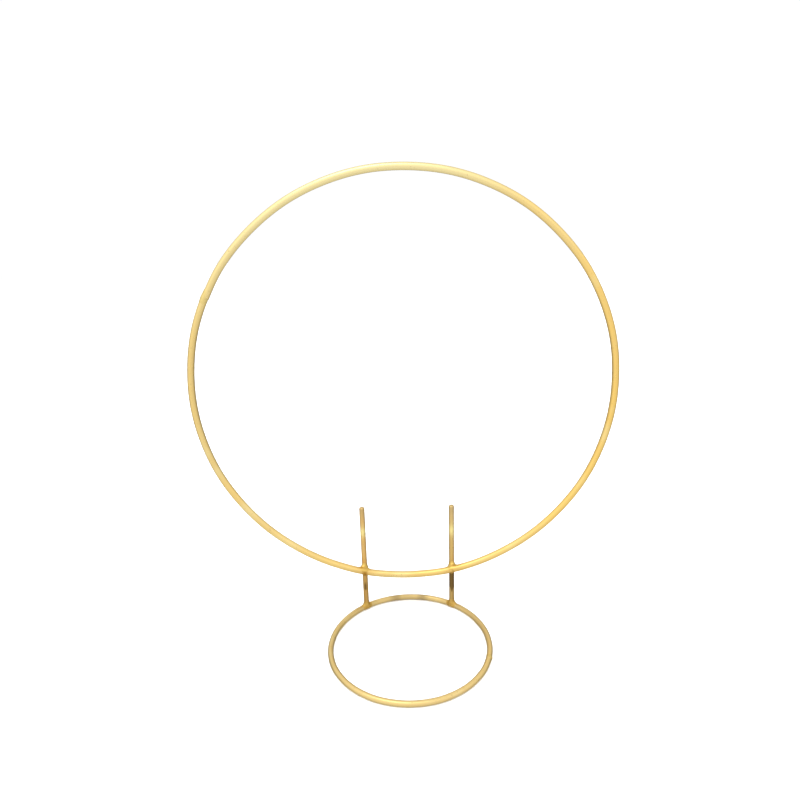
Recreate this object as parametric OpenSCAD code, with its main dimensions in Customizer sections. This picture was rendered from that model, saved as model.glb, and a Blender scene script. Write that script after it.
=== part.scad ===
// Wreath frame: a large wire hoop held upright by two short rods, which stand on a small wire base ring.
// The four wires are joined by welds: a bead at each crossing, a bead at each foot, and a butt weld
// that closes each ring. Millimetres, +Z up. The origin is the centre of the base ring on the surface
// that it stands on, and the front faces -Y.

/* [Hoop] */
// Outside diameter of the hoop
hoop_outer_d = 300; // [220:10:450]
// Diameter of the hoop's wire
hoop_wire_d = 5; // [4:0.5:7]
// Height of the hoop's underside above the table
hoop_clearance = 30; // [24:1:60]
// Place of the butt weld that closes the hoop, in degrees anticlockwise from its right-hand side
hoop_seam_angle = 152.5; // [100:0.5:170]

/* [Base ring] */
// Inside diameter of the base ring
base_inner_d = 110; // [90:5:200]
// Diameter of the base ring's wire
base_wire_d = 4; // [3:0.5:6]
// Place of the butt weld that closes the base ring, in degrees anticlockwise from its right-hand side
base_seam_angle = -16.5; // [-80:0.5:20]

/* [Uprights] */
// Diameter of the two rods
rod_d = 4; // [3:0.5:5]
// Distance between the two rods, centre to centre
rod_spacing = 67; // [40:1:80]
// Height of a rod's tip above the middle of the hoop's wire where they cross
prong_height = 52; // [20:1:100]
// Radius on the edge of a rod's tip
tip_edge_r = 1.3; // [0.4:0.1:1.4]

/* [Welds] */
// Gap between a rod and the hoop's wire, filled by the bead
weld_gap = 0.15; // [0.1:0.05:0.4]
// Diameter of the bead where a rod crosses the hoop
hoop_bead_d = 8.6; // [7.6:0.2:11]
// Diameter of the bead at a rod's foot
foot_bead_d = 6.6; // [6:0.2:7.4]
// Height of the skirt of weld metal that runs up a rod from its foot
foot_skirt_h = 5; // [3:0.5:8]
// How far the butt welds stand proud of the wire
seam_proud = 0.35; // [0.2:0.05:0.6]

/* [Hidden] */
$fn = 96;
LEFT = -1;
RIGHT = 1;

// Wire and rod radii, and the radius of each ring at the middle of its wire
hoop_wire_r = hoop_wire_d / 2;
base_wire_r = base_wire_d / 2;
rod_r = rod_d / 2;
hoop_r = hoop_outer_d / 2 - hoop_wire_r;
base_r = base_inner_d / 2 + base_wire_r;

// The rods stand on the base ring's wire, and the hoop stands just in front of the rods
rod_x = rod_spacing / 2;
rod_y = sqrt(pow(base_r, 2) - pow(rod_x, 2));
hoop_y = rod_y - rod_r - weld_gap - hoop_wire_r;
hoop_z = hoop_clearance + hoop_wire_r + hoop_r;
crossing_z = hoop_z - sqrt(pow(hoop_r, 2) - pow(rod_x, 2));
tip_z = crossing_z + prong_height;

// A rod is pressed a little way into the top of the base ring's wire
foot_bite = 0.4;
foot_z = base_wire_d - foot_bite;

// The welding tongs squeeze a rod slightly where it crosses the hoop, over a little more than the bead's height
squeeze_depth = 0.1;
squeeze_half_h = hoop_bead_d / 2 + 0.35;

// The skirt of weld metal thins as it climbs the rod, and ends in a blunt lip
skirt_lip = 0.15;
skirt_steps = 5;
barrel_steps = 6;

// A bead at a crossing stops this far short of the middle of the wires that it joins
bead_margin = 0.35;

wire_colour = "goldenrod";
weld_colour = "darkgoldenrod";

// One closed ring of round wire, flat, with its middle at the origin
module wire_ring(ring_r, wire_r) {
    rotate_extrude() translate([ring_r, 0]) circle(r = wire_r);
}

// Stands a flat shape up in the plane of the hoop, so that angles run anticlockwise seen from the front
module in_hoop_plane() {
    translate([0, hoop_y, hoop_z]) rotate([90, 0, 0]) children();
}

module in_base_plane() {
    translate([0, 0, base_wire_r]) children();
}

// The ball of weld metal that joins the two ends of a ring's wire
module seam_ball(ring_r, wire_r, angle) {
    rotate([0, 0, angle]) translate([ring_r, 0, 0]) sphere(r = wire_r + seam_proud);
}

// A rod's outline, from a flat foot through the squeezed stretch to a tip with a rounded edge
function rod_outline() = concat(
    [
        [0, foot_z],
        [rod_r, foot_z],
        [rod_r, crossing_z - squeeze_half_h],
        [rod_r - squeeze_depth, crossing_z],
        [rod_r, crossing_z + squeeze_half_h]
    ],
    [for (a = [0 : 15 : 90])
        [rod_r - tip_edge_r * (1 - cos(a)), tip_z - tip_edge_r * (1 - sin(a))]],
    [[0, tip_z]]
);

module rod(side) {
    translate([side * rod_x, rod_y, 0]) rotate_extrude() polygon(rod_outline());
}

module upright(side) {
    color(wire_colour) difference() {
        rod(side);
        in_base_plane() wire_ring(base_r, base_wire_r);
    }
}

// A ball's outline between two heights, turned about its own axis in a few straight steps
function barrel_outline(r, low, high) = concat(
    [[0, low]],
    [for (i = [0 : barrel_steps])
        let (a = asin(low / r) + (asin(high / r) - asin(low / r)) * i / barrel_steps)
        [r * cos(a), r * sin(a)]],
    [[0, high]]
);

// The bead fills the corners between a rod and the hoop, and the narrow gap where they pass.
// The weld metal stops just short of the middle of either wire.
module hoop_weld(side) {
    bead_y = rod_y - rod_r - weld_gap / 2;
    color(weld_colour) difference() {
        translate([side * rod_x, bead_y, crossing_z]) rotate([90, 0, 0]) rotate_extrude()
            polygon(barrel_outline(
                hoop_bead_d / 2, bead_y - rod_y + bead_margin, bead_y - hoop_y - bead_margin
            ));
        in_hoop_plane() wire_ring(hoop_r, hoop_wire_r);
        rod(side);
    }
}

// The skirt's outline: a hollow curve from the bead's side up to the lip on the rod
function skirt_outline(width, height) = concat(
    [[0, 0]],
    [for (i = [0 : skirt_steps])
        let (a = 90 * i / skirt_steps)
        [rod_r + skirt_lip + (width - skirt_lip) * (1 - sin(a)), height * (1 - cos(a))]],
    [[0, height]]
);

// The bead wraps the top of the base ring's wire and climbs the rod's foot
module foot_weld(side) {
    bead_r = foot_bead_d / 2;
    color(weld_colour) difference() {
        translate([side * rod_x, rod_y, foot_z]) {
            sphere(r = bead_r);
            rotate_extrude() polygon(skirt_outline(bead_r * 0.92 - rod_r, foot_skirt_h));
        }
        in_base_plane() wire_ring(base_r, base_wire_r);
        rod(side);
    }
}

module hoop() {
    color(wire_colour) in_hoop_plane() difference() {
        wire_ring(hoop_r, hoop_wire_r);
        seam_ball(hoop_r, hoop_wire_r, hoop_seam_angle);
    }
}

module hoop_seam_weld() {
    color(weld_colour) in_hoop_plane() seam_ball(hoop_r, hoop_wire_r, hoop_seam_angle);
}

module base_ring() {
    color(wire_colour) in_base_plane() difference() {
        wire_ring(base_r, base_wire_r);
        seam_ball(base_r, base_wire_r, base_seam_angle);
    }
}

// The base ring's butt weld is ground flat underneath, so that the ring lies level
module base_seam_weld() {
    block = 4 * base_wire_d;
    color(weld_colour) difference() {
        in_base_plane() seam_ball(base_r, base_wire_r, base_seam_angle);
        rotate([0, 0, base_seam_angle]) translate([base_r - block / 2, -block / 2, -block])
            cube([block, block, block]);
    }
}

module upright_left() {
    upright(LEFT);
}

module upright_right() {
    upright(RIGHT);
}

module hoop_weld_left() {
    hoop_weld(LEFT);
}

module hoop_weld_right() {
    hoop_weld(RIGHT);
}

module foot_weld_left() {
    foot_weld(LEFT);
}

module foot_weld_right() {
    foot_weld(RIGHT);
}

hoop();
base_ring();
upright_left();
upright_right();
hoop_weld_left();
hoop_weld_right();
foot_weld_left();
foot_weld_right();
hoop_seam_weld();
base_seam_weld();
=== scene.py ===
"""Looks of a welded wire wreath frame: gold-plated rings, rods and weld beads around the fixed CAD frame.

Every length is in metres unless its name says otherwise. Places and sizes come from the CAD nodes' boxes.
"""

from __future__ import annotations

import logging
import math
from collections.abc import Callable, Sequence
from dataclasses import dataclass, field
from enum import Enum

import bmesh
import bpy
import numpy as np
from mathutils import Matrix, Vector, noise

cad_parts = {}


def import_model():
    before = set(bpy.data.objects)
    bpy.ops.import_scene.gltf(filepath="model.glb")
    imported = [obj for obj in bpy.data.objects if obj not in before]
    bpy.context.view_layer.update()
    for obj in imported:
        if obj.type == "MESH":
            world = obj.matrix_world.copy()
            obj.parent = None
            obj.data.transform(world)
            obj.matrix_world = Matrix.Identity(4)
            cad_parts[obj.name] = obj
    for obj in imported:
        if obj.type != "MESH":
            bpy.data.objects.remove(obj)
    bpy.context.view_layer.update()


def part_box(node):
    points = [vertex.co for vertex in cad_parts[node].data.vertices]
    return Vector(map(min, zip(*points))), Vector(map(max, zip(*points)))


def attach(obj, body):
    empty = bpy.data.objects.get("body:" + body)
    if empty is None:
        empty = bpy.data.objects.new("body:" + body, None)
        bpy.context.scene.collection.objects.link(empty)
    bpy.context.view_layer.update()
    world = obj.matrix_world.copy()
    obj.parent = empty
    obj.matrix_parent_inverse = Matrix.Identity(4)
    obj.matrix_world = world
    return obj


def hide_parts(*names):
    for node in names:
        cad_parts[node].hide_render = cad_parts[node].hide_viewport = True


LOG = logging.getLogger("wreath_frame")
MM = 0.001
ROOT_BODY = "root"
SEED_SHIFT = Vector((17.3, 5.1, -9.7))
TINY = 1e-12

Distance = Callable[[np.ndarray], np.ndarray]
Colour = tuple[float, float, float]


class Side(Enum):
    """The two sides of the frame, seen from the front."""

    LEFT = "left"
    RIGHT = "right"


class Slot(Enum):
    """The record's material slots."""

    WIRE = "gold_wire"
    ROD = "gold_rod"
    WELD = "gold_weld"


class Lay(Enum):
    """How a ring lies: upright and facing the front, or flat on the table."""

    UPRIGHT = "upright"
    FLAT = "flat"


# --------------------------------------------------------------------------------------------------------
# Sizes read from the CAD frame
# --------------------------------------------------------------------------------------------------------


@dataclass(frozen=True)
class RingSizes:
    """Sizes of one ring of round wire."""

    lay: Lay
    centre: Vector
    ring_r: float
    wire_r: float
    seam_angle: float

    @classmethod
    def of(cls, ring_node: str, seam_node: str, lay: Lay) -> RingSizes:
        """Reads a ring's sizes from its node, and the place of its butt weld from the weld's node.

        Args:
            ring_node: CAD node of the ring.
            seam_node: CAD node of the butt weld that closes it.
            lay: how the ring lies.

        Returns:
            The ring's sizes, with the seam's angle in radians, anticlockwise from the right.
        """
        low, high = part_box(ring_node)
        seam_low, seam_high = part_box(seam_node)
        centre, seam = (low + high) / 2, (seam_low + seam_high) / 2
        centre.x = 0.0
        if lay is Lay.UPRIGHT:
            wire_r, outer_r = (high.y - low.y) / 2, (high.z - low.z) / 2
            angle = math.atan2(seam.z - centre.z, seam.x - centre.x)
        else:
            wire_r, outer_r = (high.z - low.z) / 2, (high.y - low.y) / 2
            angle = math.atan2(seam.y - centre.y, seam.x - centre.x)
        return cls(lay, centre, outer_r - wire_r, wire_r, angle)

    def axes(self) -> tuple[Vector, Vector]:
        """Returns the ring's plane: the direction to the right, and the one a quarter turn on from it."""
        second = Vector((0, 0, 1)) if self.lay is Lay.UPRIGHT else Vector((0, 1, 0))
        return Vector((1, 0, 0)), second

    def distance(self) -> Distance:
        """Returns the signed distance to the ring's wire, negative inside the metal."""
        right, second = (np.array(axis) for axis in self.axes())
        normal = np.cross(right, second)
        centre = np.array(self.centre)

        def measure(points: np.ndarray) -> np.ndarray:
            """Signed distance of each point to the wire's surface."""
            offset = points - centre
            flat = np.hypot(offset @ right, offset @ second) - self.ring_r
            return np.hypot(flat, offset @ normal) - self.wire_r

        return measure


@dataclass(frozen=True)
class RodSizes:
    """Sizes of one upright rod."""

    side: Side
    x: float
    y: float
    foot_z: float
    tip_z: float
    rod_r: float

    @classmethod
    def of(cls, side: Side) -> RodSizes:
        """Reads a rod's sizes from its node.

        Args:
            side: which of the two rods.

        Returns:
            The rod's sizes.
        """
        low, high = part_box(f"upright_{side.value}")
        centre = (low + high) / 2
        return cls(side, centre.x, centre.y, low.z, high.z, (high.y - low.y) / 2)

    def distance(self, foot_z: float) -> Distance:
        """Returns the signed distance to the rod's side and foot, negative inside the metal.

        Args:
            foot_z: height at which the rod starts.

        Returns:
            A function that measures points.
        """

        def measure(points: np.ndarray) -> np.ndarray:
            """Signed distance of each point to the rod's surface."""
            radial = np.hypot(points[..., 0] - self.x, points[..., 1] - self.y) - self.rod_r
            return np.maximum(radial, foot_z - points[..., 2])

        return measure


# --------------------------------------------------------------------------------------------------------
# Mesh making
# --------------------------------------------------------------------------------------------------------


def perlin(points: np.ndarray, feature: float, seed: float = 0.0) -> np.ndarray:
    """Smooth noise at each point.

    Args:
        points: places, one row each.
        feature: size of a lump, in the points' own unit.
        seed: shifts the pattern.

    Returns:
        Values of about -1 to 1, one for each point.
    """
    shift = seed * SEED_SHIFT
    return np.array([noise.noise(Vector(p / feature) + shift) for p in points])


def smooth_step(low: float, high: float, values: np.ndarray) -> np.ndarray:
    """Rises smoothly from 0 at low to 1 at high, or falls where high is below low."""
    t = np.clip((values - low) / (high - low), 0.0, 1.0)
    return t * t * (3 - 2 * t)


def clean_object(name: str, points: np.ndarray, faces: Sequence[Sequence[int]]) -> bpy.types.Object:
    """Makes a closed, smooth-shaded mesh object with its faces turned outwards.

    Args:
        name: the piece's name.
        points: vertices, one row each.
        faces: the vertices of each face.

    Returns:
        The new object, linked to the scene.
    """
    mesh = bpy.data.meshes.new(name)
    mesh.from_pydata(points.tolist(), [], faces)
    work = bmesh.new()
    work.from_mesh(mesh)
    bmesh.ops.recalc_face_normals(work, faces=work.faces)
    work.to_mesh(mesh)
    work.free()
    mesh.shade_smooth()
    piece = bpy.data.objects.new(name, mesh)
    bpy.context.scene.collection.objects.link(piece)
    return piece


def store_values(piece: bpy.types.Object, name: str, values: np.ndarray) -> None:
    """Keeps a number or a vector on each vertex, for the piece's material to read.

    Args:
        piece: mesh object.
        name: the attribute's name.
        values: one number or one row of three for each vertex.
    """
    is_vector = values.ndim == 2
    kind = "FLOAT_VECTOR" if is_vector else "FLOAT"
    attribute = piece.data.attributes.new(name, kind, "POINT")
    attribute.data.foreach_set("vector" if is_vector else "value", values.astype(np.float32).ravel())


@dataclass
class SweptWire:
    """A round wire swept along a path, one ring of vertices at each station.

    The rings' radii may differ along the wire and round it, and both ends are closed.
    """

    stations: np.ndarray
    across: np.ndarray
    up: np.ndarray
    along: np.ndarray
    radii: np.ndarray

    def build(self, name: str) -> bpy.types.Object:
        """Builds the wire's mesh, and keeps each vertex's place along and across the wire on it.

        Args:
            name: the piece's name.

        Returns:
            The new object.
        """
        rows, sides = self.radii.shape
        angles = np.linspace(0.0, 2 * math.pi, sides, endpoint=False)
        a, b = self.radii * np.cos(angles), self.radii * np.sin(angles)
        rings = (
            self.stations[:, None, :]
            + a[..., None] * self.across[:, None, :]
            + b[..., None] * self.up[:, None, :]
        )
        points = np.vstack([rings.reshape(-1, 3), self.stations[:1], self.stations[-1:]])
        faces = [
            (i * sides + j, i * sides + (j + 1) % sides, (i + 1) * sides + (j + 1) % sides, (i + 1) * sides + j)
            for i in range(rows - 1)
            for j in range(sides)
        ]
        start, end, last = rows * sides, rows * sides + 1, (rows - 1) * sides
        faces += [(start, (j + 1) % sides, j) for j in range(sides)]
        faces += [(end, last + j, last + (j + 1) % sides) for j in range(sides)]
        piece = clean_object(name, points, faces)
        in_wire = np.stack([np.broadcast_to(self.along[:, None], a.shape), a, b], axis=-1).reshape(-1, 3)
        ends = np.array([[self.along[0], 0.0, 0.0], [self.along[-1], 0.0, 0.0]])
        store_values(piece, "wire", np.vstack([in_wire, ends]))
        return piece


@dataclass
class WeldBlob:
    """A bead of weld metal that wraps the place where wires meet, and thins out along them.

    The bead is the smooth union of the wires' own surfaces, swollen most at its middle. Towards its reach
    it sinks below the wires' surfaces, so that its edge feathers into them. Its heat tinting is tint_and_shade all
    over, and shade_below adds painted shade where it is low and in the middle: shade_z and shade_x give where
    that shade starts and where it is full, upwards and sideways from the bead's middle.
    """

    centre: Vector
    surfaces: list[Distance]
    reach: float
    swell: float
    fillet: float
    lump: float
    lump_size: float
    seed: float
    tint_and_shade: float
    shade_below: float
    shade_z: tuple[float, float] = (2.2 * MM, -0.4 * MM)
    shade_x: tuple[float, float] = (3.4 * MM, 1.2 * MM)
    tint_patch: float = 0.2
    tint_patch_size: float = 2.6 * MM
    fine_lump: float = 0.5
    fine_lump_ratio: float = 2.3
    smooth_from: float = 0.45
    sink: float = 1.9
    floor_z: float | None = None
    detail: int = 6
    steps: int = 96

    def build(self, name: str) -> bpy.types.Object:
        """Builds the bead's mesh, with its lumps, its heat tinting and its painted shade.

        Args:
            name: the piece's name.

        Returns:
            The new object.
        """
        ball = bmesh.new()
        bmesh.ops.create_icosphere(ball, subdivisions=self.detail, radius=1.0)
        directions = np.array([vert.co.normalized() for vert in ball.verts])
        faces = [[vert.index for vert in face.verts] for face in ball.faces]
        ball.free()
        length = self.lengths(directions)
        surface = np.array(self.centre) + directions * length[:, None]
        lumps = perlin(surface, self.lump_size, self.seed)
        lumps = lumps + self.fine_lump * perlin(surface, self.lump_size / self.fine_lump_ratio, self.seed + 1)
        fade = smooth_step(1.0, self.smooth_from, length / self.reach)
        surface = surface + directions * (self.lump * lumps * fade)[:, None]
        if self.floor_z is not None:
            surface[:, 2] = np.maximum(surface[:, 2], self.floor_z)
        piece = clean_object(name, surface, faces)
        store_values(piece, "weld", fade)
        store_values(piece, "tint_and_shade", self.shade_and_tint(surface))
        return piece

    def lengths(self, directions: np.ndarray) -> np.ndarray:
        """Walks out from the bead's middle to its surface in every direction.

        Args:
            directions: unit vectors, one row each.

        Returns:
            The distance from the middle to the surface along each.
        """
        distances = np.linspace(0.0, self.reach, self.steps)
        places = np.array(self.centre) + directions[:, None, :] * distances[None, :, None]
        depth = self.swollen(places, distances)
        outside = depth > 0
        outside[:, -1] = True
        outside[:, 0] = False
        first = outside.argmax(axis=1)
        rows = np.arange(len(directions))
        inner, outer = depth[rows, first - 1], depth[rows, first]
        share = np.clip(inner / np.where(np.abs(inner - outer) < TINY, -TINY, inner - outer), 0.0, 1.0)
        return distances[first - 1] + share * (distances[first] - distances[first - 1])

    def shade_and_tint(self, surface: np.ndarray) -> np.ndarray:
        """How dark the bead is: heat tinting a little all over and in patches, and painted shade at its lower
        middle.

        Args:
            surface: points on the bead.

        Returns:
            A value for each point, 1 or more where the plating is fully dark.
        """
        # painted shade at the bead's lower middle
        high, low = (self.centre.z + offset for offset in self.shade_z)
        below = smooth_step(high, low, surface[:, 2])
        below = below * smooth_step(*self.shade_x, np.abs(surface[:, 0] - self.centre.x))
        patch = smooth_step(-0.2, 0.8, perlin(surface, self.tint_patch_size, self.seed + 2))
        return self.tint_and_shade + self.shade_below * below + self.tint_patch * patch

    def swollen(self, places: np.ndarray, distances: np.ndarray) -> np.ndarray:
        """Signed distance to the swollen union of the wires.

        Args:
            places: points, in rows of equal steps away from the middle.
            distances: how far each step is from the middle.

        Returns:
            The distance of each point, negative inside the bead.
        """
        first, second = (surface(places) for surface in self.surfaces)
        near = np.maximum(self.fillet - np.abs(first - second), 0.0) / self.fillet
        union = np.minimum(first, second) - near * near * self.fillet / 4
        ratio = distances / self.reach
        return union - self.swell * (1.0 - self.sink * ratio**2)[None, :]


# --------------------------------------------------------------------------------------------------------
# Finishes
# --------------------------------------------------------------------------------------------------------


class NodeSheet:
    """A node tree, with short ways to add and join nodes."""

    def __init__(self, tree: bpy.types.NodeTree) -> None:
        """Takes over a node tree and empties it.

        Args:
            tree: the tree.
        """
        self.tree = tree
        self.tree.nodes.clear()

    def add(self, kind: str) -> bpy.types.Node:
        """Adds a node of one kind."""
        return self.tree.nodes.new(kind)

    def join(self, source: bpy.types.NodeSocket, target: bpy.types.NodeSocket) -> None:
        """Links one socket to another."""
        self.tree.links.new(source, target)

    def attribute(self, name: str) -> bpy.types.Node:
        """Returns a node that reads a value kept on the mesh."""
        node = self.add("ShaderNodeAttribute")
        node.attribute_name = name
        return node

    def position(self) -> bpy.types.NodeSocket:
        """Returns the piece's own coordinates, in metres."""
        return self.add("ShaderNodeTexCoord").outputs["Object"]

    def stretched(self, vector: bpy.types.NodeSocket, scale: tuple[float, float, float]) -> bpy.types.NodeSocket:
        """Scales coordinates, each axis by its own amount.

        Args:
            vector: the coordinates.
            scale: factor on each axis.

        Returns:
            The scaled coordinates.
        """
        node = self.add("ShaderNodeMapping")
        node.inputs["Scale"].default_value = scale
        self.join(vector, node.inputs["Vector"])
        return node.outputs["Vector"]

    def noise(
        self, vector: bpy.types.NodeSocket, scale: float, detail: float = 3.0, roughness: float = 0.5
    ) -> bpy.types.NodeSocket:
        """Adds a noise pattern.

        Args:
            vector: the coordinates it reads.
            scale: features for each unit of the coordinates.
            detail: how many finer layers it adds.
            roughness: how strong those layers are.

        Returns:
            The pattern's value, from 0 to 1.
        """
        node = self.add("ShaderNodeTexNoise")
        node.inputs["Scale"].default_value = scale
        node.inputs["Detail"].default_value = detail
        node.inputs["Roughness"].default_value = roughness
        self.join(vector, node.inputs["Vector"])
        return node.outputs["Fac"]

    def ranged(
        self, value: bpy.types.NodeSocket, source: tuple[float, float], target: tuple[float, float]
    ) -> bpy.types.NodeSocket:
        """Maps one range of values smoothly to another, and holds it at the ends.

        Args:
            value: what is mapped.
            source: the range it comes from.
            target: the range it goes to.

        Returns:
            The mapped value.
        """
        node = self.add("ShaderNodeMapRange")
        node.interpolation_type = "SMOOTHSTEP"
        for name, number in zip(("From Min", "From Max", "To Min", "To Max"), (*source, *target)):
            node.inputs[name].default_value = number
        self.join(value, node.inputs["Value"])
        return node.outputs["Result"]

    def maths(
        self, operation: str, first: bpy.types.NodeSocket, second: bpy.types.NodeSocket | float
    ) -> bpy.types.NodeSocket:
        """Adds a sum, product or other operation on two values.

        Args:
            operation: Blender's name for it.
            first: the first value.
            second: the second value, or a plain number.

        Returns:
            The result.
        """
        node = self.add("ShaderNodeMath")
        node.operation = operation
        self.join(first, node.inputs[0])
        if isinstance(second, (int, float)):
            node.inputs[1].default_value = second
        else:
            self.join(second, node.inputs[1])
        return node.outputs["Value"]

    def mixed(
        self,
        share: bpy.types.NodeSocket,
        first: bpy.types.NodeSocket | Colour,
        second: bpy.types.NodeSocket | Colour,
    ) -> bpy.types.NodeSocket:
        """Mixes two colours.

        Args:
            share: how much of the second colour there is.
            first: the colour at 0.
            second: the colour at 1.

        Returns:
            The mixed colour.
        """
        node = self.add("ShaderNodeMix")
        node.data_type = "RGBA"
        self.join(share, node.inputs["Factor"])
        colour_sockets = [socket for socket in node.inputs if socket.type == "RGBA"]
        for value, socket in zip((first, second), colour_sockets):
            if isinstance(value, tuple):
                socket.default_value = (*value, 1.0)
            else:
                self.join(value, socket)
        return next(socket for socket in node.outputs if socket.type == "RGBA")

    def bump(
        self, height: bpy.types.NodeSocket, depth: float, under: bpy.types.NodeSocket | None = None
    ) -> bpy.types.NodeSocket:
        """Adds a relief.

        Args:
            height: the relief's height, from 0 to 1.
            depth: how deep the full range is, in metres.
            under: a relief that this one lies on.

        Returns:
            The bent normal.
        """
        node = self.add("ShaderNodeBump")
        node.inputs["Distance"].default_value = depth
        self.join(height, node.inputs["Height"])
        if under is not None:
            self.join(under, node.inputs["Normal"])
        return node.outputs["Normal"]


class SurfaceSheet(NodeSheet):
    """The node tree of a surface, with its shader."""

    def __init__(self, name: str) -> None:
        """Starts a material.

        Args:
            name: the material's name.
        """
        self.material = bpy.data.materials.new(name)
        self.material.use_nodes = True
        super().__init__(self.material.node_tree)
        self.shader = self.add("ShaderNodeBsdfPrincipled")
        output = self.add("ShaderNodeOutputMaterial")
        self.join(self.shader.outputs["BSDF"], output.inputs["Surface"])

    def set_shader(self, **values: float | tuple[float, ...]) -> None:
        """Sets constant values on the shader's own sockets, with underscores for spaces in their names."""
        for name, value in values.items():
            self.shader.inputs[name.replace("_", " ")].default_value = value


@dataclass(frozen=True)
class GoldPlating:
    """Satin gold plating: cloudy colour, draw lines or weld grain, dull specks, dark stretches of heat tinting,
    painted shade and painted shadow, a painted highlight band, and painted reflections that make it warmer to the
    right and paler at the top.

    The colour goes from plain to warm over warm_x, a painted reflection, and to pale over pale_z, a painted
    highlight where the top is lit, by a share that changes over pale_x.
    Scales are features to the metre, and each pair named for a noise is the span of it that shows.
    """

    name: str
    plain: Colour
    # warm: the painted reflection's orange on the right, and the colour the random cloud leans to
    warm: Colour
    # pale: the painted highlight on the top, and the colour of the random pale patches
    pale: Colour
    # dark colour: heat tinting near welds, and painted shade and painted shadow elsewhere
    tinted_and_shaded: Colour
    roughness: tuple[float, float]
    warm_x: tuple[float, float] = (-0.05, 0.15)
    pale_z: tuple[float, float] = (0.2, 0.32)
    pale_x: tuple[float, float] = (0.02, 0.09)
    pale_share: tuple[float, float] = (1.0, 0.4)
    warm_most: float = 0.8
    pale_most: float = 0.85
    # painted highlight band colour on the rods, and the worn colour of the butt welds
    rubbed_and_highlight: Colour = (0.86, 0.68, 0.27)
    dull: Colour = (0.5, 0.37, 0.17)
    edge: Colour = (0.6, 0.55, 0.45)
    draw_lines: tuple[float, float, float] = (50.0, 7000.0, 7000.0)
    line_depth: float = 0.006 * MM
    grain_scale: float = 2600.0
    grain_depth: float = 0.006 * MM
    speck_scale: float = 700.0
    speck_span: tuple[float, float] = (0.66, 0.76)
    speck_most: float = 0.5
    speck_rough: float = 0.3
    tint_and_shade_rough: float = 0.12
    haze_scale: float = 160.0
    haze_share: float = 0.6
    rough_span: tuple[float, float] = (0.35, 0.65)
    cloud_scale: float = 26.0
    cloud_span: tuple[float, float] = (0.35, 0.68)
    cloud_warmth: tuple[float, float] = (-0.15, 0.4)
    patch_scale: float = 41.0
    patch_span: tuple[float, float] = (0.5, 0.7)
    patch_most: float = 0.35

    def material(self) -> bpy.types.Material:
        """Returns the finished material."""
        sheet = SurfaceSheet(self.name)
        sheet.set_shader(Metallic=1.0, Specular_Tint=(*self.edge, 1.0))
        place = sheet.position()
        tint_and_shade = sheet.attribute("tint_and_shade").outputs["Fac"]
        speck = sheet.ranged(sheet.noise(place, self.speck_scale, 2.0), self.speck_span, (0.0, self.speck_most))
        # mixes in the dark colour: heat tinting near welds, painted shade and painted shadow elsewhere
        colour = sheet.mixed(tint_and_shade, self.plating_colour(sheet, place), self.tinted_and_shaded)
        sheet.join(sheet.mixed(speck, colour, self.dull), sheet.shader.inputs["Base Color"])
        texture = self.surface_texture(sheet, place)
        haze = sheet.maths("MULTIPLY", sheet.noise(place, self.haze_scale, 2.0), self.haze_share)
        uneven = sheet.maths("ADD", sheet.maths("MULTIPLY", texture, 1.0 - self.haze_share), haze)
        rough = sheet.ranged(uneven, self.rough_span, self.roughness)
        rough = sheet.maths("ADD", rough, sheet.maths("MULTIPLY", speck, self.speck_rough))
        rough = sheet.maths("ADD", rough, sheet.maths("MULTIPLY", tint_and_shade, self.tint_and_shade_rough))
        sheet.join(rough, sheet.shader.inputs["Roughness"])
        normal = sheet.bump(texture, self.line_depth)
        normal = sheet.bump(sheet.noise(place, self.grain_scale, 3.0), self.grain_depth, normal)
        sheet.join(normal, sheet.shader.inputs["Normal"])
        return sheet.material

    def plating_colour(self, sheet: NodeSheet, place: bpy.types.NodeSocket) -> bpy.types.NodeSocket:
        """Colour of the plating before its dark marks: a painted reflection warmer to the right, a painted
        highlight paler at the top, and brighter in a painted highlight band on the rods and on the worn butt welds.

        Args:
            sheet: the material's nodes.
            place: the piece's coordinates.

        Returns:
            The colour.
        """
        split = sheet.add("ShaderNodeSeparateXYZ")
        sheet.join(place, split.inputs["Vector"])
        # painted reflection: warmer to the right
        side = sheet.ranged(split.outputs["X"], self.warm_x, (0.0, self.warm_most))
        cloud = sheet.ranged(sheet.noise(place, self.cloud_scale, 3.0), self.cloud_span, self.cloud_warmth)
        # painted highlight: paler at the top
        top = sheet.ranged(split.outputs["Z"], self.pale_z, (0.0, self.pale_most))
        top = sheet.maths("MULTIPLY", top, sheet.ranged(split.outputs["X"], self.pale_x, self.pale_share))
        patch = sheet.ranged(sheet.noise(place, self.patch_scale, 2.0), self.patch_span, (0.0, self.patch_most))
        colour = sheet.mixed(sheet.maths("ADD", side, cloud), self.plain, self.warm)
        colour = sheet.mixed(sheet.maths("MAXIMUM", top, patch), colour, self.pale)
        # painted highlight band on the rods; on the butt welds, their worn, brighter colour
        return sheet.mixed(sheet.attribute("rub_and_highlight").outputs["Fac"], colour, self.rubbed_and_highlight)

    def surface_texture(self, sheet: NodeSheet, place: bpy.types.NodeSocket) -> bpy.types.NodeSocket:
        """Long draw lines, which follow the wire.

        Args:
            sheet: the material's nodes.
            place: not used.

        Returns:
            The texture's height, from 0 to 1.
        """
        wire = sheet.attribute("wire").outputs["Vector"]
        return sheet.noise(sheet.stretched(wire, self.draw_lines), 1.0, 3.0, 0.6)


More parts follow.
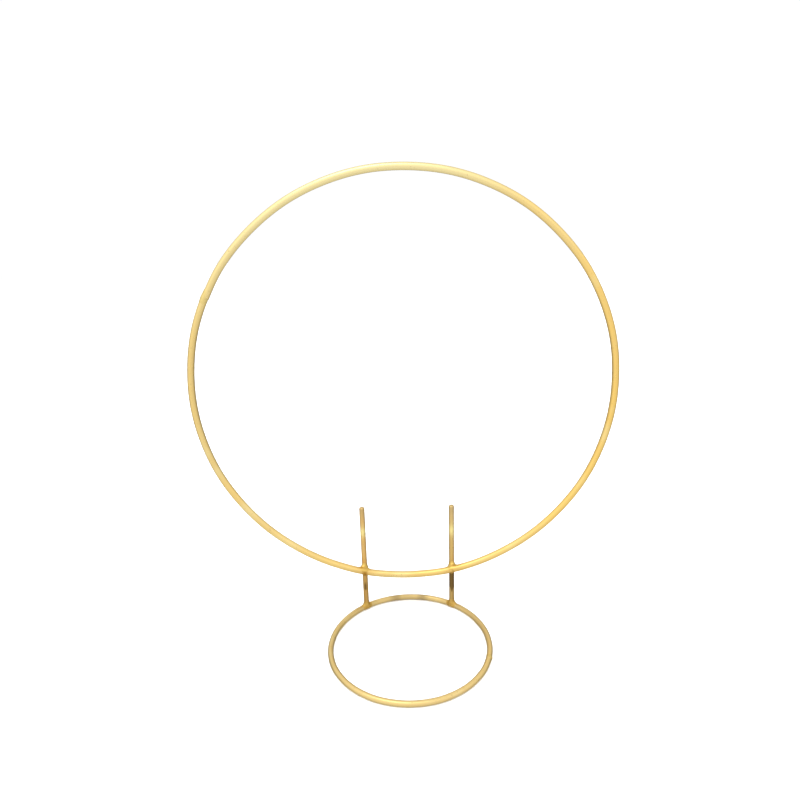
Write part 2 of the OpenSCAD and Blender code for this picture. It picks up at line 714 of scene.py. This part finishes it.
@dataclass(frozen=True)
class WeldPlating(GoldPlating):
    """The same plating over weld metal, whose surface is lumpy and pitted."""

    lump_scale: float = 650.0

    def surface_texture(self, sheet: NodeSheet, place: bpy.types.NodeSocket) -> bpy.types.NodeSocket:
        """Lumps and pits of weld metal, which die out where the bead meets the wire.

        Args:
            sheet: the material's nodes.
            place: the piece's coordinates.

        Returns:
            The texture's height, from 0 to 1.
        """
        grain = sheet.noise(place, self.lump_scale, 4.0, 0.55)
        return sheet.maths("MULTIPLY", grain, sheet.attribute("weld").outputs["Fac"])


def hoop_plating() -> bpy.types.Material:
    """Returns the plating of the hoop, which the weld's heat has turned orange-brown at the crossings; the same
    colour paints shade at its lowest point.
    """
    return GoldPlating(
        name="gold_plated_hoop",
        plain=(0.86, 0.63, 0.24),
        warm=(0.95, 0.64, 0.185),
        pale=(0.93, 0.81, 0.42),
        tinted_and_shaded=(0.46, 0.2, 0.016),
        roughness=(0.26, 0.38),
    ).material()


def base_plating() -> bpy.types.Material:
    """Returns the plating of the base ring, a little greyer than the hoop's, with an olive colour for its painted
    shade and painted reflection.
    """
    return GoldPlating(
        name="gold_plated_base",
        plain=(0.82, 0.61, 0.25),
        warm=(0.86, 0.63, 0.26),
        pale=(0.92, 0.79, 0.42),
        # olive colour of the painted shade and painted reflection
        tinted_and_shaded=(0.36, 0.26, 0.12),
        roughness=(0.26, 0.38),
        pale_share=(1.0, 0.9),
    ).material()


def rod_plating() -> bpy.types.Material:
    """Returns the plating of the rods, which is browner, with a near-black colour for their painted shadow and
    painted shade and a bright colour for their painted highlight band.
    """
    return GoldPlating(
        name="gold_plated_rod",
        plain=(0.78, 0.46, 0.135),
        warm=(0.7, 0.48, 0.17),
        pale=(0.78, 0.58, 0.27),
        # near-black colour of the painted shadow and painted shade
        tinted_and_shaded=(0.19, 0.115, 0.038),
        # colour of the painted highlight band
        rubbed_and_highlight=(1.0, 0.85, 0.36),
        roughness=(0.27, 0.4),
        # painted reflection warmer on the right rod, and painted highlight paler on the upper prongs
        warm_x=(-0.02, 0.03),
        pale_z=(0.066, 0.088),
        pale_x=(-0.03, 0.0),
        pale_share=(0.7, 1.0),
    ).material()


def weld_plating() -> bpy.types.Material:
    """Returns the plating of the weld beads."""
    return WeldPlating(
        name="gold_plated_weld",
        plain=(0.74, 0.5, 0.13),
        warm=(0.74, 0.5, 0.14),
        pale=(0.8, 0.68, 0.34),
        # dark colour: heat tinting, and painted shade at the beads' lower middles
        tinted_and_shaded=(0.4, 0.2, 0.035),
        roughness=(0.3, 0.46),
        line_depth=0.09 * MM,
        grain_scale=2200.0,
        grain_depth=0.014 * MM,
    ).material()


@dataclass(frozen=True)
class FloorFinish:
    """A plain, pale, matt studio floor."""

    name: str = "pale_floor"
    colour: Colour = (0.9, 0.9, 0.9)

    def material(self) -> bpy.types.Material:
        """Returns the finished material."""
        sheet = SurfaceSheet(self.name)
        sheet.set_shader(Base_Color=(*self.colour, 1.0), Roughness=0.9, Specular_IOR_Level=0.1)
        return sheet.material


# --------------------------------------------------------------------------------------------------------
# Sub-assemblies
# --------------------------------------------------------------------------------------------------------


def dress(piece: bpy.types.Object, node: str, material: bpy.types.Material) -> None:
    """Gives a piece its finish and puts it in the place of its CAD node.

    Args:
        piece: the detailed piece.
        node: the CAD node that it stands for.
        material: its finish.
    """
    piece.data.materials.append(material)
    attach(piece, ROOT_BODY)
    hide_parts(node)
    LOG.info("%s: %d faces", piece.name, len(piece.data.polygons))


@dataclass(frozen=True)
class StainAndShade:
    """A darker place on a ring, fading out round it over its reach: heat tinting round the hoop's welds, and
    painted shade and painted reflection elsewhere.
    """

    place: Vector
    reach: float
    depth: float


@dataclass(frozen=True)
class Seam:
    """The butt weld that closes a ring: a low bead, which may stand proud mostly on the ring's outer side.

    The wire's last end lies further in than its first by step, and comes back into line over step_reach. The
    bead's hump reaches over a share of its half length, and sink is how far it lies below the wire where there is
    no hump, at its middle and what more at its ends.
    """

    half_length: float
    proud: float
    one_sided: float
    rubbed_and_highlight: float
    tinted_and_shaded: float
    step: float = 0.0
    step_reach: float = 22 * MM
    gap: float = 0.4 * MM
    hump_reach: float = 0.52
    hump_level: float = 0.8
    outer_falloff: float = 1.5
    ripple: float = 0.16
    ripple_count: float = 11.0
    sink: tuple[float, float] = (0.02 * MM, 0.1 * MM)
    pitted: float = 0.3
    rows: int = 72

    def proud_by(self, along: np.ndarray, turn: np.ndarray, seed: float) -> np.ndarray:
        """How far the bead stands above the wire, less what its ends sink below it.

        Args:
            along: distances along the wire from the bead's middle.
            turn: angles round the wire, from the ring's outer side.
            seed: shifts the unevenness.

        Returns:
            The height at each row along the wire and each angle round it.
        """
        share_along = along / self.half_length
        hump = np.exp(-((along / (self.hump_reach * self.half_length)) ** 2))[:, None]
        facing_out = np.clip(np.cos(turn), 0.0, 1.0)[None, :] ** self.outer_falloff
        uneven = 1 + 0.2 * np.sin(3 * turn + seed)[None, :] + 0.12 * np.sin(7 * turn - seed)[None, :]
        share = (1 - self.one_sided) * uneven + self.one_sided * facing_out
        ripple = 1 + self.ripple * np.cos(share_along * self.ripple_count + seed)[:, None]
        height = self.proud * np.clip(hump * share * ripple * self.hump_level, 0.0, 1.0)
        sunk_middle, sunk_end = self.sink
        sunk = sunk_middle + sunk_end * np.abs(share_along)[:, None] ** 2
        return height - sunk * (1 - hump)


HOOP_SEAM = Seam(half_length=6.0 * MM, proud=0.32 * MM, one_sided=0.6, rubbed_and_highlight=0.7, tinted_and_shaded=0.0, step=0.35 * MM)
BASE_SEAM = Seam(half_length=2.6 * MM, proud=0.55 * MM, one_sided=0.9, rubbed_and_highlight=0.6, tinted_and_shaded=0.1)


@dataclass
class WireRing:
    """A ring of wire rolled by hand on a former: nearly round, and closed by a butt weld."""

    node: str
    seam_node: str
    sizes: RingSizes
    wire_finish: bpy.types.Material
    weld_finish: bpy.types.Material
    welds: list[Vector]
    stains_and_shade: list[StainAndShade]
    seam: Seam
    waver: float
    rows: int
    waver_waves: tuple[tuple[int, float, float], ...] = ((3, 0.2, 1.0), (8, 0.17, 2.1), (17, 0.13, 0.7))
    true_reach: tuple[float, float] = (4 * MM, 25 * MM)
    sides: int = 32
    seed: float = 1.0

    def path(self, angles: np.ndarray) -> tuple[np.ndarray, np.ndarray, np.ndarray]:
        """The middle of the wire at some angles round the ring.

        The ring wavers a little, always inwards from its true circle, and stays true at the welds. Each wave has
        its count round the ring, its share of the waver and its shift.

        Args:
            angles: angles in radians.

        Returns:
            The points on the wire's middle line, the direction outwards at each, and the ring's normal at each.
        """
        right, second = (np.array(axis) for axis in self.sizes.axes())
        out = np.cos(angles)[:, None] * right + np.sin(angles)[:, None] * second
        normal = np.broadcast_to(np.cross(right, second), out.shape)
        wobble = np.full(len(angles), 0.5)
        for count, share, phase in self.waver_waves:
            wobble = wobble + share * np.sin(count * angles + phase * self.seed)
        points = np.array(self.sizes.centre) + out * self.sizes.ring_r
        for weld in self.welds:
            away = np.linalg.norm(points - np.array(weld), axis=1)
            wobble = wobble * smooth_step(*self.true_reach, away)
        return points - out * (self.waver * wobble)[:, None], out, normal

    def build(self) -> None:
        """Builds the ring and its butt weld, and dresses both."""
        self.build_wire()
        self.build_seam()

    def build_wire(self) -> None:
        """Builds the wire, from one side of the butt weld round to the other, where it ends a little further in."""
        half_gap = self.seam.gap / self.sizes.ring_r
        turn = np.linspace(half_gap, 2 * math.pi - half_gap, self.rows)
        angles = self.sizes.seam_angle + turn
        points, out, normal = self.path(angles)
        to_end = (2 * math.pi - turn) * self.sizes.ring_r
        points = points - out * (self.seam.step * smooth_step(self.seam.step_reach, 0.0, to_end))[:, None]
        radii = np.full((self.rows, self.sides), self.sizes.wire_r)
        wire = SweptWire(points, out, normal, angles * self.sizes.ring_r, radii)
        piece = wire.build(f"{self.node}_wire")
        places = np.array([vert.co for vert in piece.data.vertices])
        # darkening of the ring: heat tinting at the hoop's welds, painted shade and painted reflection elsewhere
        tint_and_shade = np.zeros(len(places))
        for dark_place in self.stains_and_shade:
            away = np.linalg.norm(places - np.array(dark_place.place), axis=1)
            tint_and_shade = np.maximum(tint_and_shade, dark_place.depth * np.exp(-((away / dark_place.reach) ** 2)))
        store_values(piece, "tint_and_shade", tint_and_shade)
        dress(piece, self.node, self.wire_finish)

    def build_seam(self) -> None:
        """Builds the butt weld: a low, uneven bead that sinks into the wire at both ends."""
        along = np.linspace(-self.seam.half_length, self.seam.half_length, self.seam.rows)
        points, out, normal = self.path(self.sizes.seam_angle + along / self.sizes.ring_r)
        turn = np.linspace(0.0, 2 * math.pi, self.sides, endpoint=False)
        radii = self.sizes.wire_r + self.seam.proud_by(along, turn, self.seed)
        piece = SweptWire(points, out, normal, along, radii).build(f"{self.seam_node}_bead")
        if self.sizes.lay is Lay.FLAT:
            for vert in piece.data.vertices:
                vert.co.z = max(vert.co.z, 0.0)
        everywhere = np.ones(len(piece.data.vertices))
        store_values(piece, "weld", self.seam.pitted * everywhere)
        store_values(piece, "rub_and_highlight", self.seam.rubbed_and_highlight * everywhere)
        store_values(piece, "tint_and_shade", self.seam.tinted_and_shaded * everywhere)
        dress(piece, self.seam_node, self.weld_finish)


@dataclass(frozen=True)
class HoopShadow:
    """A stretch of a rod below the hoop, painted dark as the hoop's shadow, all round it or as a streak down its
    front.

    The stretch fades out upwards over fade, and its lower edge rises by taper from the rod's middle to its sides.
    A streak's width is a share of the rod's radius.
    """

    low_z: float
    high_z: float
    depth: float
    taper: float
    fade: float
    streak: float | None = None
    soft: float = 1.5 * MM


@dataclass
class Upright:
    """A rod that stands on the base ring and ends in a free prong above the hoop."""

    sizes: RodSizes
    crossing: Vector
    finish: bpy.types.Material
    hoop_shadow: HoopShadow
    # painted highlight band across the rods at this height
    highlight_band_z: float = 68.5 * MM
    highlight_band_reach: float = 5.0 * MM
    highlight_band_depth: float = 0.9
    ragged: float = 1.0 * MM
    # painted shade on the rod from just below the hoop down to the foot
    lower_shade: float = 0.36
    lower_shade_z: tuple[float, float] = (4 * MM, -1 * MM)
    # painted shade darkening the last stretch to the tip
    tip_shade: float = 0.22
    tip_reach: float = 12 * MM
    pinch: float = 0.1 * MM
    pinch_half: float = 4.6 * MM
    edge_r: float = 1.3 * MM
    sides: int = 40
    row_step: float = 0.4 * MM
    edge_rows: int = 12
    flat_rows: int = 3

    def outline(self) -> tuple[np.ndarray, np.ndarray]:
        """The rod's height and radius at each row, from the foot to the rounded edge of the tip.

        Returns:
            The heights and the radii.
        """
        straight_top = self.sizes.tip_z - self.edge_r
        count = int((straight_top - self.sizes.foot_z) / self.row_step)
        heights = np.linspace(self.sizes.foot_z, straight_top, count, endpoint=False)
        nearness = np.clip(1 - np.abs(heights - self.crossing.z) / self.pinch_half, 0.0, 1.0)
        radii = self.sizes.rod_r - self.pinch * smooth_step(0.0, 1.0, nearness)
        bend = np.linspace(0.0, math.pi / 2, self.edge_rows)
        heights = np.concatenate([heights, straight_top + self.edge_r * np.sin(bend)])
        radii = np.concatenate([radii, self.sizes.rod_r - self.edge_r * (1 - np.cos(bend))])
        inner = np.linspace(0.75, 0.25, self.flat_rows) * radii[-1]
        return np.concatenate([heights, np.full(self.flat_rows, heights[-1])]), np.concatenate([radii, inner])

    def build(self) -> None:
        """Builds the rod and dresses it."""
        heights, radii = self.outline()
        count = len(heights)
        stations = np.stack([np.full(count, self.sizes.x), np.full(count, self.sizes.y), heights], axis=1)
        across = np.tile([1.0, 0.0, 0.0], (count, 1))
        up = np.tile([0.0, 1.0, 0.0], (count, 1))
        round_radii = np.repeat(radii[:, None], self.sides, axis=1)
        wire = SweptWire(stations, across, up, heights, round_radii)
        name = f"upright_{self.sizes.side.value}"
        piece = wire.build(f"{name}_rod")
        places = np.array([vert.co for vert in piece.data.vertices])
        # painted shadow and painted shade on the rod
        store_values(piece, "tint_and_shade", self.shade_and_tint(places))
        # painted highlight band, with a ragged edge
        highlight_band_height = places[:, 2] + self.ragged * perlin(places, 4 * MM, 4.0)
        store_values(piece, "rub_and_highlight", self.highlight_band_depth * np.exp(-(((highlight_band_height - self.highlight_band_z) / self.highlight_band_reach) ** 2)))
        dress(piece, name, self.finish)

    def shade_and_tint(self, places: np.ndarray) -> np.ndarray:
        """How dark the plating is, all of it painted shade: the hoop's painted shadow below its weld, painted shade
        from there down to the foot, and painted shade at the tip.

        Args:
            places: points on the rod.

        Returns:
            A value from 0 to 1 for each point.
        """
        hoop_shadow = self.hoop_shadow
        across = (places[:, 0] - self.sizes.x) / self.sizes.rod_r
        height = places[:, 2] + self.ragged * perlin(places, 3 * MM, 2.0)
        rise = smooth_step(hoop_shadow.low_z - hoop_shadow.soft, hoop_shadow.low_z + hoop_shadow.soft, height - hoop_shadow.taper * np.abs(across))
        fall = smooth_step(hoop_shadow.high_z + hoop_shadow.fade, hoop_shadow.high_z, height)
        if hoop_shadow.streak is not None:
            rise = rise * np.exp(-((across / hoop_shadow.streak) ** 2)) * (places[:, 1] < self.sizes.y)
        high, low = (self.crossing.z + offset for offset in self.lower_shade_z)
        below = self.lower_shade * smooth_step(high, low, height)
        tip = self.tip_shade * smooth_step(self.sizes.tip_z - self.tip_reach, self.sizes.tip_z, height)
        return np.clip(np.maximum(below, hoop_shadow.depth * rise * fall) + tip, 0.0, 1.0)


@dataclass
class CrossingWeld:
    """The bead where a rod crosses the hoop."""

    rod: RodSizes
    hoop: RingSizes
    crossing: Vector
    finish: bpy.types.Material
    reach: float = 7.0 * MM
    swell: float = 0.3 * MM
    fillet: float = 4.4 * MM

    def build(self) -> None:
        """Builds the bead and dresses it."""
        name = f"hoop_weld_{self.rod.side.value}"
        blob = WeldBlob(
            centre=self.crossing,
            surfaces=[self.hoop.distance(), self.rod.distance(0.0)],
            reach=self.reach,
            swell=self.swell,
            fillet=self.fillet,
            lump=0.22 * MM,
            lump_size=2.2 * MM,
            seed=3.0 if self.rod.side is Side.LEFT else 5.0,
            tint_and_shade=0.1,
            # painted shade under the crossing, where the hoop's painted shadow on the rod starts
            shade_below=0.9 if self.rod.side is Side.LEFT else 0.45,
        )
        dress(blob.build(f"{name}_bead"), name, self.finish)


@dataclass
class FootWeld:
    """The bead at a rod's foot, on top of the base ring's wire."""

    rod: RodSizes
    base: RingSizes
    finish: bpy.types.Material
    reach: float = 5.8 * MM
    swell: float = 0.18 * MM
    fillet: float = 2.4 * MM

    def build(self) -> None:
        """Builds the bead and dresses it."""
        name = f"foot_weld_{self.rod.side.value}"
        blob = WeldBlob(
            centre=Vector((self.rod.x, self.rod.y, self.rod.foot_z)),
            surfaces=[self.base.distance(), self.rod.distance(self.base.centre.z)],
            reach=self.reach,
            swell=self.swell,
            fillet=self.fillet,
            lump=0.16 * MM,
            lump_size=2.0 * MM,
            seed=7.0 if self.rod.side is Side.LEFT else 9.0,
            tint_and_shade=0.3,
            # painted shade at the bead's lower middle, next to the floor
            shade_below=0.1,
            floor_z=0.02 * MM,
        )
        dress(blob.build(f"{name}_bead"), name, self.finish)


@dataclass
class WreathFrame:
    """The whole welded frame."""

    hoop: RingSizes = field(init=False)
    base: RingSizes = field(init=False)
    rods: list[RodSizes] = field(init=False)
    # painted shadow of the hoop on each rod
    hoop_shadows: dict[Side, HoopShadow] = field(
        default_factory=lambda: {
            Side.LEFT: HoopShadow(low_z=17.5 * MM, high_z=21.5 * MM, depth=1.0, taper=0.0, fade=8.0 * MM, streak=0.65),
            Side.RIGHT: HoopShadow(low_z=14.5 * MM, high_z=33.0 * MM, depth=1.0, taper=4.0 * MM, fade=4.0 * MM),
        }
    )

    def __post_init__(self) -> None:
        """Reads the sizes of all the parts from the CAD frame."""
        self.hoop = RingSizes.of("hoop", "hoop_seam_weld", Lay.UPRIGHT)
        self.base = RingSizes.of("base_ring", "base_seam_weld", Lay.FLAT)
        self.rods = [RodSizes.of(side) for side in Side]

    def crossing(self, rod: RodSizes) -> Vector:
        """The point between a rod and the hoop's wire where they touch.

        Args:
            rod: the rod.

        Returns:
            The point.
        """
        drop = math.sqrt(self.hoop.ring_r**2 - rod.x**2)
        between = ((rod.y - rod.rod_r) + (self.hoop.centre.y + self.hoop.wire_r)) / 2
        return Vector((rod.x, between, self.hoop.centre.z - drop))

    def feet(self) -> list[Vector]:
        """Returns the points in the middle of the base ring's wire where the rods stand."""
        return [Vector((rod.x, rod.y, self.base.centre.z)) for rod in self.rods]

    def hoop_stains_and_shade(self) -> list[StainAndShade]:
        """Darker places on the hoop: painted shade at its lowest point, and heat tinting round each weld and on the
        front of the wire at each weld.

        Returns:
            The places.
        """
        to_front = Vector((0.5 * MM, -5.05 * MM, -0.2 * MM))
        depths = {Side.LEFT: 1.0, Side.RIGHT: 0.4}
        crossings = [self.crossing(rod) for rod in self.rods]
        bottom = self.hoop.centre - Vector((0.0, 0.0, self.hoop.ring_r))
        return [
            # painted shade at the hoop's lowest point
            StainAndShade(bottom, reach=26 * MM, depth=0.1),
            *[StainAndShade(place, reach=8 * MM, depth=0.4) for place in crossings],
            *[
                StainAndShade(place + to_front, reach=2.3 * MM, depth=depths[rod.side])
                for place, rod in zip(crossings, self.rods)
            ],
        ]

    def base_painted_shade(self) -> list[StainAndShade]:
        """Painted shade and painted reflection on the base ring, which darken it round its feet, at the back
        between them, and on its right and left.

        Returns:
            The places.
        """
        back = self.base.centre + Vector((0.0, self.base.ring_r, 0.0))
        right = self.base.centre + Vector((0.9, 0.43, 0.0)) * self.base.ring_r
        left = self.base.centre - Vector((0.97, 0.25, 0.0)) * self.base.ring_r
        beside_back = [back + Vector((aside, -1 * MM, 0.0)) for aside in (-10.5 * MM, 10.5 * MM)]
        return [
            *[StainAndShade(foot, reach=14 * MM, depth=0.4) for foot in self.feet()],
            *[StainAndShade(place, reach=6 * MM, depth=0.85) for place in beside_back],
            StainAndShade(back, reach=24 * MM, depth=0.45),
            StainAndShade(right, reach=34 * MM, depth=0.24),
            StainAndShade(left, reach=30 * MM, depth=0.14),
        ]

    def build(self) -> None:
        """Builds every part of the frame."""
        rod_finish, weld = rod_plating(), weld_plating()
        crossings = [self.crossing(rod) for rod in self.rods]
        WireRing(
            node="hoop",
            seam_node="hoop_seam_weld",
            sizes=self.hoop,
            wire_finish=hoop_plating(),
            weld_finish=weld,
            welds=crossings,
            stains_and_shade=self.hoop_stains_and_shade(),
            seam=HOOP_SEAM,
            waver=0.45 * MM,
            rows=960,
        ).build()
        WireRing(
            node="base_ring",
            seam_node="base_seam_weld",
            sizes=self.base,
            wire_finish=base_plating(),
            weld_finish=weld,
            welds=self.feet(),
            stains_and_shade=self.base_painted_shade(),
            seam=BASE_SEAM,
            waver=0.2 * MM,
            rows=540,
        ).build()
        for rod, crossing in zip(self.rods, crossings):
            Upright(rod, crossing, rod_finish, self.hoop_shadows[rod.side]).build()
            CrossingWeld(rod, self.hoop, crossing, weld).build()
            FootWeld(rod, self.base, weld).build()


# --------------------------------------------------------------------------------------------------------
# Studio
# --------------------------------------------------------------------------------------------------------


@dataclass(frozen=True)
class StudioCamera:
    """A camera in front of the frame, near the height of the hoop's top, looking down at it."""

    place: Vector = field(default_factory=lambda: Vector((0.656 * MM, -386.25 * MM, 311.19 * MM)))
    lens_mm: float = 28.91
    sensor_mm: float = 36.0
    down_deg: float = 17.868
    turn_deg: float = -0.428
    roll_deg: float = -1.654

    def build(self) -> None:
        """Makes the camera and gives it to the scene."""
        down, turn, roll = (math.radians(x) for x in (self.down_deg, self.turn_deg, self.roll_deg))
        ahead = Vector((math.sin(turn) * math.cos(down), math.cos(turn) * math.cos(down), -math.sin(down)))
        right = Vector((math.cos(turn), -math.sin(turn), 0.0))
        up = right.cross(ahead)
        tilted_right = math.cos(roll) * right + math.sin(roll) * up
        tilted_up = -math.sin(roll) * right + math.cos(roll) * up
        turned = Matrix((tilted_right, tilted_up, -ahead)).transposed()
        data = bpy.data.cameras.new("camera")
        data.lens, data.sensor_width = self.lens_mm, self.sensor_mm
        data.clip_start = 0.01
        camera = bpy.data.objects.new("camera", data)
        camera.matrix_world = Matrix.Translation(self.place) @ turned.to_4x4()
        bpy.context.scene.collection.objects.link(camera)
        bpy.context.scene.camera = camera


@dataclass(frozen=True)
class Studio:
    """A plain pale floor under soft light.

    The surroundings' levels go from front to back over back_turn, from low to high over rise, and from left to
    right over aside, all as parts of a unit direction. The backdrop is what shows directly.
    """

    floor_r: float = 3.0
    floor_sides: int = 128
    front_low: float = 0.98
    front_high: float = 1.24
    back_low: float = 0.32
    back_high: float = 1.0
    back_turn: tuple[float, float] = (-0.7, 0.75)
    rise: tuple[float, float] = (-0.35, 0.55)
    aside: tuple[float, float] = (-0.8, 0.8)
    left_right: tuple[float, float] = (1.05, 0.93)
    backdrop: float = 1.02
    softbox_size: tuple[float, float] = (1.1, 0.7)
    softbox_place: tuple[float, float, float] = (-0.35, -0.35, 1.5)
    softbox_watts: float = 3.2
    floor_glow: float = 0.82
    floor_glow_z: tuple[float, float] = (-0.75, -0.3)
    wash_size: float = 3.0
    wash_z: float = 2.4
    wash_watts: float = 75.0

    def build(self) -> None:
        """Makes the floor, the lights, the surroundings and the camera."""
        bpy.context.scene.view_settings.view_transform = "Standard"
        self.build_floor()
        self.build_softbox()
        self.build_floor_wash()
        self.build_surroundings()
        StudioCamera().build()

    def build_floor(self) -> None:
        """Makes the floor, a wide disc at the frame's foot."""
        mesh = bpy.data.meshes.new("floor")
        work = bmesh.new()
        bmesh.ops.create_circle(work, cap_ends=True, segments=self.floor_sides, radius=self.floor_r)
        work.to_mesh(mesh)
        work.free()
        floor = bpy.data.objects.new("floor", mesh)
        mesh.materials.append(FloorFinish().material())
        bpy.context.scene.collection.objects.link(floor)
        floor.visible_glossy = False

    def build_softbox(self) -> None:
        """Makes a wide soft light above the frame, a little to the front and the left."""
        data = bpy.data.lights.new("softbox", "AREA")
        data.shape = "RECTANGLE"
        data.size, data.size_y = self.softbox_size
        data.energy = self.softbox_watts
        light = bpy.data.objects.new("softbox", data)
        light.location = self.softbox_place
        light.rotation_euler = Vector(self.softbox_place).to_track_quat("Z", "Y").to_euler()
        bpy.context.scene.collection.objects.link(light)

    def build_floor_wash(self) -> None:
        """Makes a very wide light overhead that only brightens the floor, and doesn't show in the metal."""
        data = bpy.data.lights.new("floor_wash", "AREA")
        data.size = self.wash_size
        data.energy = self.wash_watts
        light = bpy.data.objects.new("floor_wash", data)
        light.location = (0.0, 0.0, self.wash_z)
        light.visible_glossy = False
        bpy.context.scene.collection.objects.link(light)

    def build_surroundings(self) -> None:
        """Makes the surroundings: bright above and in front, and dim low down behind the frame."""
        world = bpy.data.worlds.new("studio")
        world.use_nodes = True
        bpy.context.scene.world = world
        sheet = NodeSheet(world.node_tree)
        split = sheet.add("ShaderNodeSeparateXYZ")
        sheet.join(sheet.add("ShaderNodeTexCoord").outputs["Generated"], split.inputs["Vector"])
        sideways, behind, above = (split.outputs[axis] for axis in "XYZ")
        low = sheet.ranged(behind, self.back_turn, (self.front_low, self.back_low))
        high = sheet.ranged(behind, self.back_turn, (self.front_high, self.back_high))
        rise = sheet.ranged(above, self.rise, (0.0, 1.0))
        level = sheet.maths("ADD", low, sheet.maths("MULTIPLY", rise, sheet.maths("SUBTRACT", high, low)))
        level = sheet.maths("MULTIPLY", level, sheet.ranged(sideways, self.aside, self.left_right))
        level = sheet.maths("MAXIMUM", level, sheet.ranged(above, self.floor_glow_z, (self.floor_glow, 0.0)))
        room, seen = sheet.add("ShaderNodeBackground"), sheet.add("ShaderNodeBackground")
        for light in (room, seen):
            light.inputs["Color"].default_value = (1.0, 1.0, 1.0, 1.0)
        sheet.join(level, room.inputs["Strength"])
        seen.inputs["Strength"].default_value = self.backdrop
        choose = sheet.add("ShaderNodeMixShader")
        sheet.join(sheet.add("ShaderNodeLightPath").outputs["Is Camera Ray"], choose.inputs["Fac"])
        sheet.join(room.outputs["Background"], choose.inputs[1])
        sheet.join(seen.outputs["Background"], choose.inputs[2])
        sheet.join(choose.outputs["Shader"], sheet.add("ShaderNodeOutputWorld").inputs["Surface"])


def main() -> None:
    """Loads the CAD frame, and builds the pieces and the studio."""
    logging.basicConfig(level=logging.INFO, format="%(name)s: %(message)s")
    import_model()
    WreathFrame().build()
    Studio().build()


if __name__ == "__main__":
    main()
